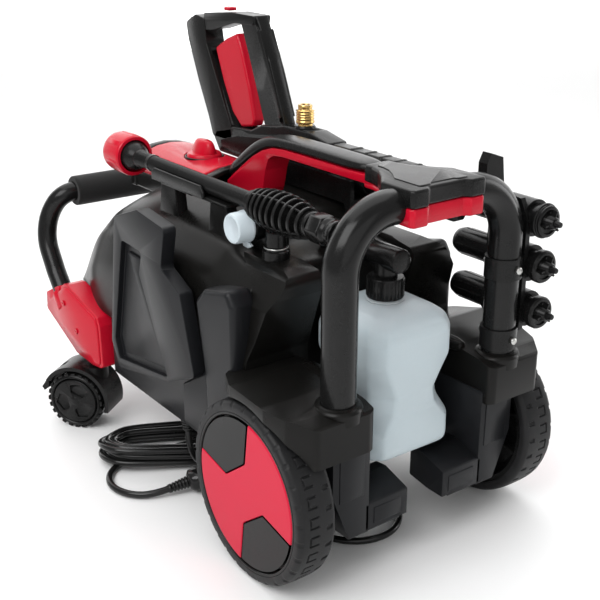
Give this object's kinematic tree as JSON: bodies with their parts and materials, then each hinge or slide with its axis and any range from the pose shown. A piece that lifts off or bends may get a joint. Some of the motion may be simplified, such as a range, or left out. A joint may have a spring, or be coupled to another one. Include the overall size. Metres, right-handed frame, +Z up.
{
  "type": "pressure washer",
  "caption": "Wheeled electric pressure washer with stored trigger gun and lance, detergent bottle, nozzle rack, two carrying handles, swivel casters and coiled mains cord.",
  "frame": {"origin": "on the floor, under the middle of the box of everything except the mains cord and what is on it", "axes": "+Z up, +Y from the rear wheels towards the casters, +X to the right seen from behind"},
  "size_m": [0.4044, 0.6364, 0.5166],
  "materials": {
    "housing_black": "fine matt moulded grain",
    "housing_grey": "matt moulded, slightly bluish charcoal",
    "tyre": "matt tread with smooth lugs",
    "rim_black": "satin black",
    "red_plastic": "satin gloss crimson",
    "steel": "zinc plated",
    "tube_black": "satin black powder coat",
    "foam": "soft matt foam",
    "handle_black": "satin black",
    "caster_black": "matt black",
    "bottle_white": "translucent blow-moulded white",
    "cap_white": "white moulded",
    "brass": "turned brass",
    "aluminium": "cast",
    "switch_white": "moulded",
    "cord_rubber": "glossy black sheath"
  },
  "bodies": {
    "machine": {"axle_clips": "steel", "bracket_screws": "steel", "control_head": "housing_black", "cord_gland": "cord_rubber", "cord_hank": "cord_rubber", "cord_lead": "cord_rubber", "cord_tail": "cord_rubber", "foam_sleeve": "foam", "front_bracket_left": "red_plastic", "front_bracket_right": "red_plastic", "front_handle_tube": "tube_black", "gun_holster": "rim_black", "handle_top_shell": "handle_black", "handle_under_shell": "red_plastic", "hoop_tube_left": "tube_black", "hoop_tube_right": "tube_black", "hose_hook": "rim_black", "inlet_fitting": "brass", "lance_clips": "rim_black", "lower_housing": "housing_grey", "motor_casing": "steel", "nozzle_rack": "rim_black", "outlet_fitting": "rim_black", "power_plug": "cord_rubber", "pump": "aluminium", "rear_axle": "steel", "side_cover_left": "housing_grey", "side_cover_right": "housing_grey", "switch_box": "switch_white", "switch_cover": "red_plastic", "upper_housing": "housing_black"},
    "wheel_left": {"tyre_left": "tyre", "rim_left": "rim_black", "wheel_disc_left": "red_plastic"},
    "wheel_right": {"tyre_right": "tyre", "rim_right": "rim_black", "wheel_disc_right": "red_plastic"},
    "caster_left": {"caster_hood_left": "caster_black"},
    "caster_right": {"caster_hood_right": "caster_black"},
    "caster_roller_left": {"caster_wheels_left": "caster_black"},
    "caster_roller_right": {"caster_wheels_right": "caster_black"},
    "brake_left": {"caster_pedal_left": "caster_black"},
    "brake_right": {"caster_pedal_right": "caster_black"},
    "knob": {"switch_knob": "red_plastic"},
    "bottle": {"detergent_bottle": "bottle_white", "bottle_cap": "rim_black", "bottle_elbow": "rim_black"},
    "dust_cap": {"inlet_cap": "cap_white"},
    "spray_1": {"nozzle_1": "handle_black"},
    "spray_2": {"nozzle_2": "handle_black"},
    "spray_3": {"nozzle_3": "handle_black"},
    "lance": {"lance_tube": "handle_black", "lance_grip": "handle_black"},
    "collar": {"lance_collar": "red_plastic"},
    "gun": {"gun_body": "handle_black", "gun_barrel_cover": "handle_black", "gun_inlet": "brass"},
    "trigger": {"gun_trigger": "red_plastic"},
    "lock": {"trigger_lock": "red_plastic"},
    "rotor": {"motor_rotor": "steel"}
  },
  "joints": [
    {"name": "left_wheel_spin", "type": "hinge", "parent": "machine", "child": "wheel_left", "pos_m": [-0.15, -0.215, 0.095], "axis": [1, 0, 0], "continuous": true},
    {"name": "right_wheel_spin", "type": "hinge", "parent": "machine", "child": "wheel_right", "pos_m": [0.15, -0.215, 0.095], "axis": [1, 0, 0], "continuous": true},
    {"name": "left_caster_swivel", "type": "hinge", "parent": "machine", "child": "caster_left", "pos_m": [-0.142, 0.177, 0.09], "axis": [0, 0, 1], "continuous": true},
    {"name": "left_caster_roll", "type": "hinge", "parent": "caster_left", "child": "caster_roller_left", "pos_m": [-0.15431, 0.19276, 0.038], "axis": [0.788, 0.6157, 0], "continuous": true},
    {"name": "left_caster_brake", "type": "hinge", "parent": "caster_left", "child": "brake_left", "pos_m": [-0.16909, 0.21167, 0.062], "axis": [-0.788, -0.6157, 0], "range_deg": [0, 10]},
    {"name": "right_caster_swivel", "type": "hinge", "parent": "machine", "child": "caster_right", "pos_m": [0.142, 0.177, 0.09], "axis": [0, 0, 1], "continuous": true},
    {"name": "right_caster_roll", "type": "hinge", "parent": "caster_right", "child": "caster_roller_right", "pos_m": [0.15431, 0.19276, 0.038], "axis": [0.788, -0.6157, 0], "continuous": true},
    {"name": "right_caster_brake", "type": "hinge", "parent": "caster_right", "child": "brake_right", "pos_m": [0.16909, 0.21167, 0.062], "axis": [-0.788, 0.6157, 0], "range_deg": [0, 10]},
    {"name": "switch_turn", "type": "hinge", "parent": "machine", "child": "knob", "pos_m": [0, 0.123, 0.35], "axis": [0, 0, 1], "range_deg": [0, 90]},
    {"name": "bottle_pull", "type": "slide", "parent": "machine", "child": "bottle", "axis": [0, -1, 0], "range_m": [0, 0.09]},
    {"name": "dust_cap_pull", "type": "slide", "parent": "machine", "child": "dust_cap", "axis": [-1, 0, 0], "range_m": [0, 0.025]},
    {"name": "nozzle_1_pull", "type": "slide", "parent": "machine", "child": "spray_1", "axis": [0, -1, 0], "range_m": [0, 0.13]},
    {"name": "nozzle_2_pull", "type": "slide", "parent": "machine", "child": "spray_2", "axis": [0, -1, 0], "range_m": [0, 0.13]},
    {"name": "nozzle_3_pull", "type": "slide", "parent": "machine", "child": "spray_3", "axis": [0, -1, 0], "range_m": [0, 0.13]},
    {"name": "lance_lift", "type": "slide", "parent": "machine", "child": "lance", "axis": [0, 0, 1], "range_m": [0, 0.05]},
    {"name": "collar_turn", "type": "hinge", "parent": "lance", "child": "collar", "pos_m": [-0.09, 0.151, 0.3555], "axis": [0, 1, 0], "range_deg": [0, 90]},
    {"name": "gun_lift", "type": "slide", "parent": "machine", "child": "gun", "axis": [0, 0, 1], "range_m": [0, 0.06]},
    {"name": "trigger_pull", "type": "hinge", "parent": "gun", "child": "trigger", "pos_m": [0.068, 0.118, 0.372], "axis": [-1, 0, 0], "range_deg": [0, 8], "stiffness_Nm_per_rad": 1.2, "springref_deg": -8.59},
    {"name": "trigger_lock_push", "type": "slide", "parent": "gun", "child": "lock", "axis": [1, 0, 0], "range_m": [0, 0.003]},
    {"name": "motor_spin", "type": "hinge", "parent": "machine", "child": "rotor", "pos_m": [0, 0.051, 0.235], "axis": [0, 1, 0], "continuous": true}
  ]
}
